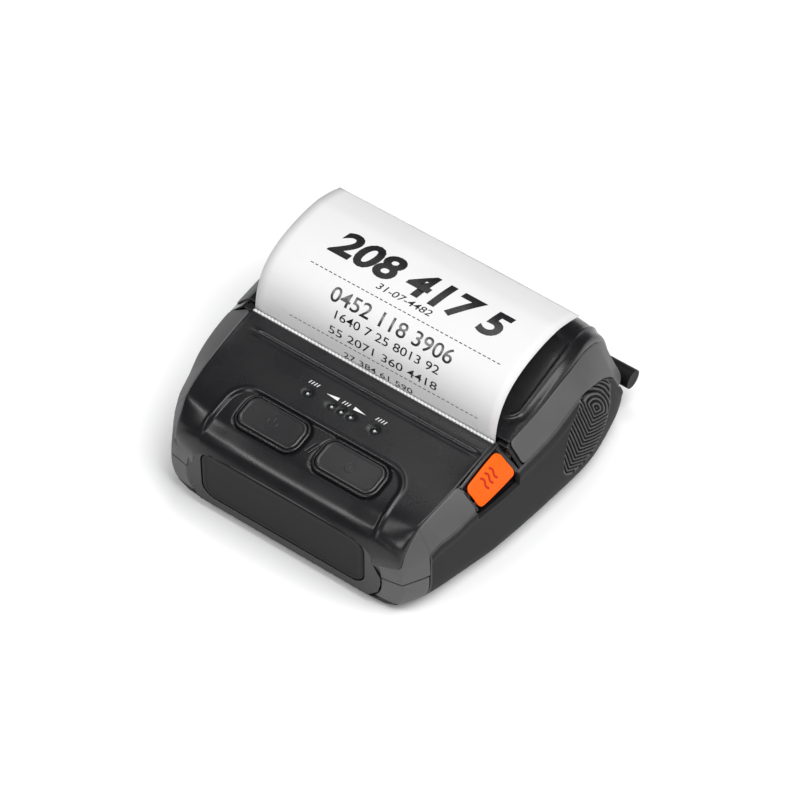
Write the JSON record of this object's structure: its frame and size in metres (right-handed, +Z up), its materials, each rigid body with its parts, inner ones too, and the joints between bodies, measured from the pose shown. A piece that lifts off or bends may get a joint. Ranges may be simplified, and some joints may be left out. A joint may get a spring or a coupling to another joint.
{
  "type": "portable receipt printer",
  "caption": "Mobile thermal receipt printer with a hinged lid, orange release button, rubber side grips and a printed sheet curling from its slot.",
  "frame": {"origin": "on the ground under the middle of the printer's bounding box", "axes": "+Z up, -Y towards the front panel, +X towards the side with the release button"},
  "size_m": [0.1464, 0.142, 0.076],
  "materials": {
    "case_black": "fine satin moulded surface",
    "cover_gloss": "polished moulded plastic",
    "trim_grey": "fine-grained moulded plastic",
    "grip_rubber": "soft-touch rubber",
    "button_black": "satin with a bright bevelled rim",
    "release_orange": "bright moulded plastic",
    "window_smoke": "smoked clear plastic",
    "bar_white": "plain moulded plastic",
    "light_clear": "clear light pipes",
    "board_green": "solder-masked board",
    "part_black": "moulded component bodies",
    "steel_plate": "plated sheet steel",
    "steel_turned": "turned steel",
    "spring_steel": "spring wire",
    "screw_steel": "blackened or plated screws",
    "sink_aluminium": "extruded and milled",
    "head_ceramic": "glazed ceramic plate",
    "gear_ivory": "acetal gear plastic",
    "brass": "plain brass",
    "platen_black": "ground silicone rubber",
    "paper_white": "thermal paper with grey print",
    "core_card": "spiral-wound card",
    "flex_amber": "polyimide flat cable",
    "battery_black": "fine-grained moulded plastic"
  },
  "bodies": {
    "case": {"base_case": "case_black", "side_grip_left": "grip_rubber", "side_grip_right": "grip_rubber", "corner_bumper_left": "trim_grey", "corner_bumper_right": "trim_grey", "front_cover": "cover_gloss", "side_trim_left": "trim_grey", "side_trim_right": "trim_grey", "tear_bar": "bar_white", "light_pipes": "light_clear", "main_board": "board_green", "radio_module": "steel_plate", "buzzer": "part_black", "button_switches": "part_black", "io_board": "board_green", "usb_port": "steel_plate", "serial_port": "part_black", "dc_jack": "part_black", "mech_frame": "steel_plate", "stepper_motor": "steel_turned", "idler_axle": "steel_turned", "roll_bay": "case_black", "media_sensor": "part_black", "cover_switch": "part_black", "hinge_pin": "steel_turned", "hinge_caps": "case_black", "rubber_feet": "grip_rubber", "case_screws": "screw_steel", "mech_screws": "screw_steel", "board_screws": "screw_steel", "head_flex": "flex_amber", "release_spring": "spring_steel", "paper_web": "paper_white", "battery_contacts": "brass"},
    "release": {"release_button": "release_orange"},
    "head": {"heat_sink": "sink_aluminium", "print_head": "head_ceramic", "head_shaft": "steel_turned", "head_springs": "spring_steel"},
    "lid": {"lid_frame": "cover_gloss", "lid_knuckles": "case_black", "lid_window": "window_smoke", "lid_cheek_left": "trim_grey", "lid_cheek_right": "trim_grey", "platen_holder": "steel_plate", "platen_bushes": "brass", "lid_screws": "screw_steel", "paper_sheet": "paper_white"},
    "platen": {"platen_shaft": "steel_turned", "platen_rubber": "platen_black", "platen_gear": "gear_ivory"},
    "idler": {"idler_gear": "gear_ivory"},
    "motor_rotor": {"motor_pinion": "brass"},
    "roll": {"paper_roll": "paper_white", "roll_core": "core_card"},
    "power_key": {"power_button": "button_black"},
    "feed_key": {"feed_button": "button_black"},
    "battery": {"battery_pack": "battery_black", "battery_panel": "battery_black"},
    "port_flap": {"port_cover": "grip_rubber"}
  },
  "joints": [
    {"name": "lid_hinge", "type": "hinge", "parent": "case", "child": "lid", "pos_m": [0, 0.0669, 0.016], "axis": [-1, 0, 0], "range_deg": [0, 88], "deforming": ["paper_web"]},
    {"name": "platen_spin", "type": "hinge", "parent": "lid", "child": "platen", "pos_m": [0, -0.00725, 0.04], "axis": [-1, 0, 0], "continuous": true},
    {"name": "idler_spin", "type": "hinge", "parent": "case", "child": "idler", "pos_m": [0.06, -0.01489, 0.02998], "axis": [-1, 0, 0], "continuous": true},
    {"name": "motor_spin", "type": "hinge", "parent": "case", "child": "motor_rotor", "pos_m": [0.06, -0.02516, 0.02664], "axis": [-1, 0, 0], "continuous": true},
    {"name": "roll_spin", "type": "hinge", "parent": "case", "child": "roll", "pos_m": [0, 0.0283, 0.0276], "axis": [-1, 0, 0], "continuous": true},
    {"name": "head_swing", "type": "hinge", "parent": "case", "child": "head", "pos_m": [0, -0.0157, 0.0252], "axis": [1, 0, 0], "range_deg": [0, 3], "stiffness_Nm_per_rad": 3, "springref_deg": -2.86},
    {"name": "release_press", "type": "hinge", "parent": "case", "child": "release", "pos_m": [0.0598, -0.0253, 0.04268], "axis": [0, 1, 0], "range_deg": [0, 7], "deforming": ["release_spring"]},
    {"name": "power_press", "type": "slide", "parent": "case", "child": "power_key", "axis": [0, 0, -1], "range_m": [0, 0.0008], "stiffness_N_per_m": 1500, "springref_m": -0.0004},
    {"name": "feed_press", "type": "slide", "parent": "case", "child": "feed_key", "axis": [0, 0, -1], "range_m": [0, 0.0008], "stiffness_N_per_m": 1500, "springref_m": -0.0004},
    {"name": "battery_slide", "type": "slide", "parent": "case", "child": "battery", "axis": [0, -1, 0], "range_m": [0, 0.06]},
    {"name": "port_cover_swing", "type": "hinge", "parent": "case", "child": "port_flap", "pos_m": [-0.06543, -0.03552, 0.016], "axis": [0.212, -0.9773, 0], "range_deg": [0, 100]}
  ],
  "couplings": [
    {"joint": "idler_spin", "follows": "platen_spin", "ratio": -0.61538},
    {"joint": "motor_spin", "follows": "platen_spin", "ratio": 1.6},
    {"joint": "release_press", "follows": "head_swing", "ratio": 2.3333}
  ]
}
